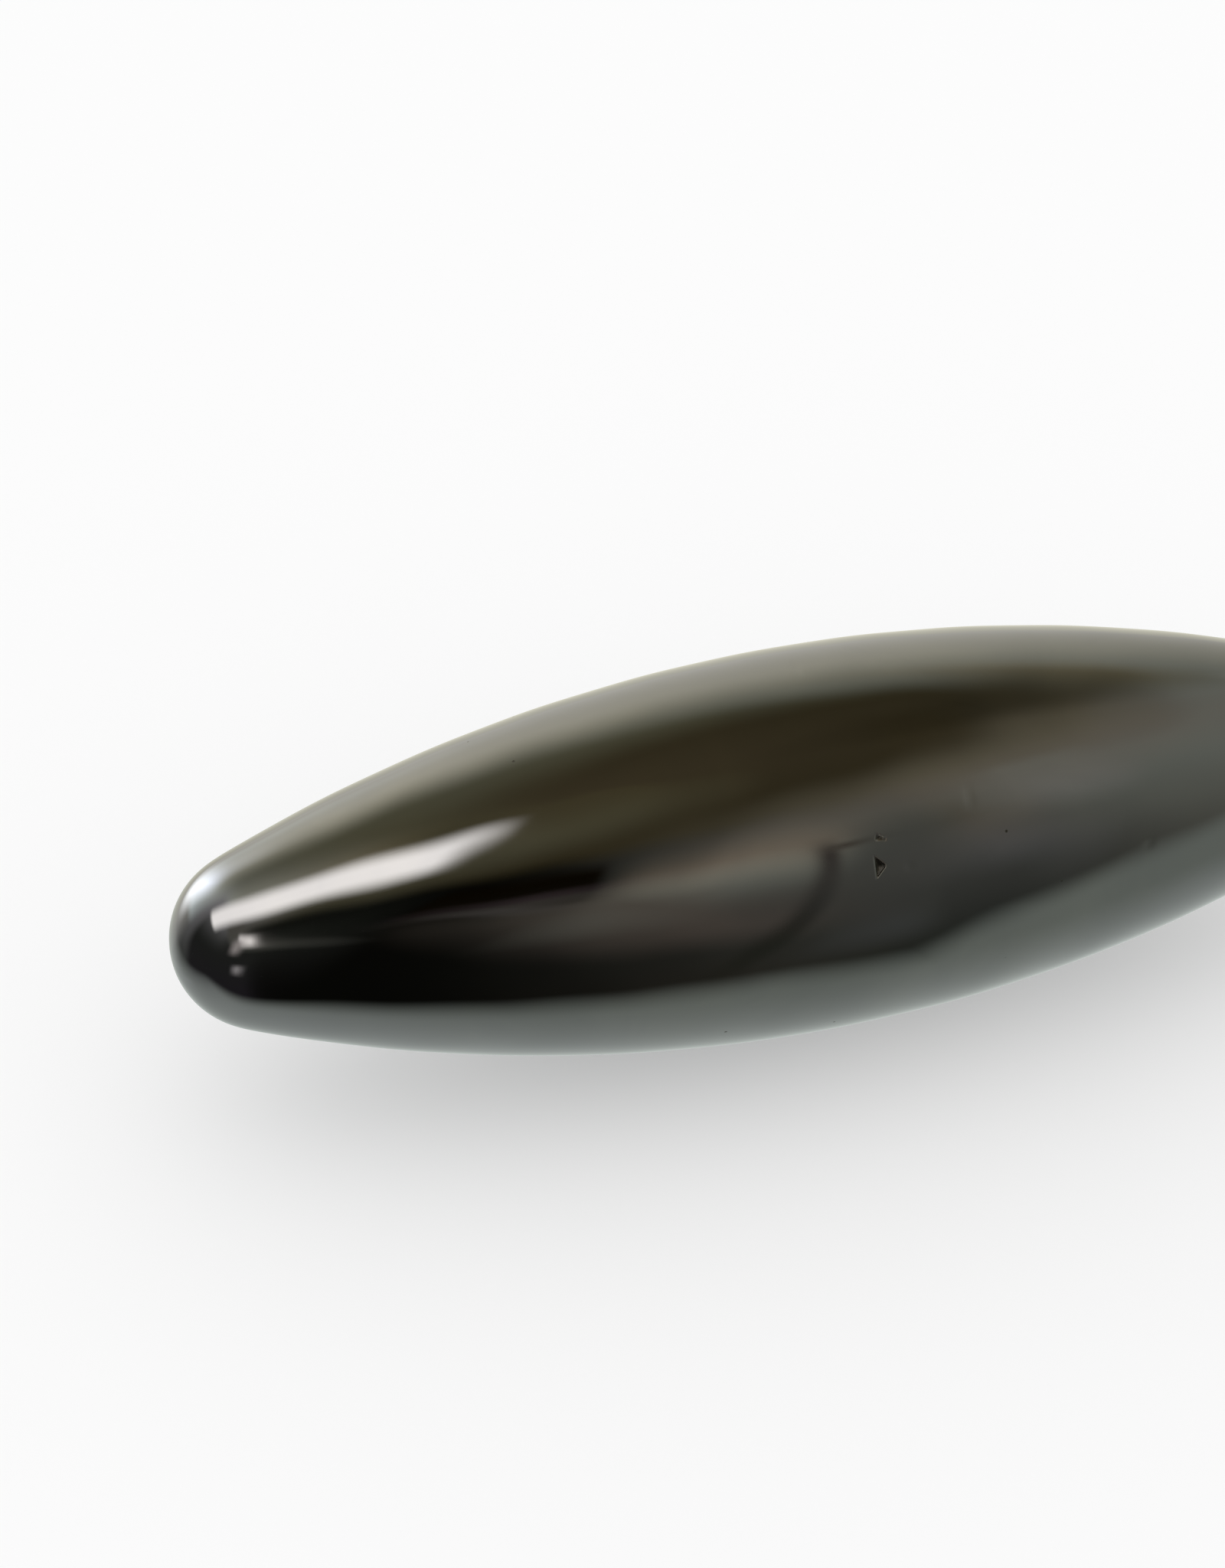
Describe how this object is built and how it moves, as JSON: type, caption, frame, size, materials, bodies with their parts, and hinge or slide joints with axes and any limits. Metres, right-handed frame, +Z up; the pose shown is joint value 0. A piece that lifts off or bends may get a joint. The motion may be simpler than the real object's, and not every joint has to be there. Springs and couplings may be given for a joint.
{
  "type": "magnetic hematite stone",
  "caption": "Polished olive-shaped stone of dark magnetic hematite with rounded ends, lying on a small flat ground into its underside.",
  "frame": {"origin": "middle of the flat that the stone rests on", "axes": "+X along the stone's long axis, +Z up, away from the rest flat"},
  "size_m": [0.06, 0.0178, 0.0177],
  "materials": {
    "polished_hematite": "polished"
  },
  "bodies": {
    "root": {"hematite_stone": "polished_hematite"}
  },
  "joints": []
}
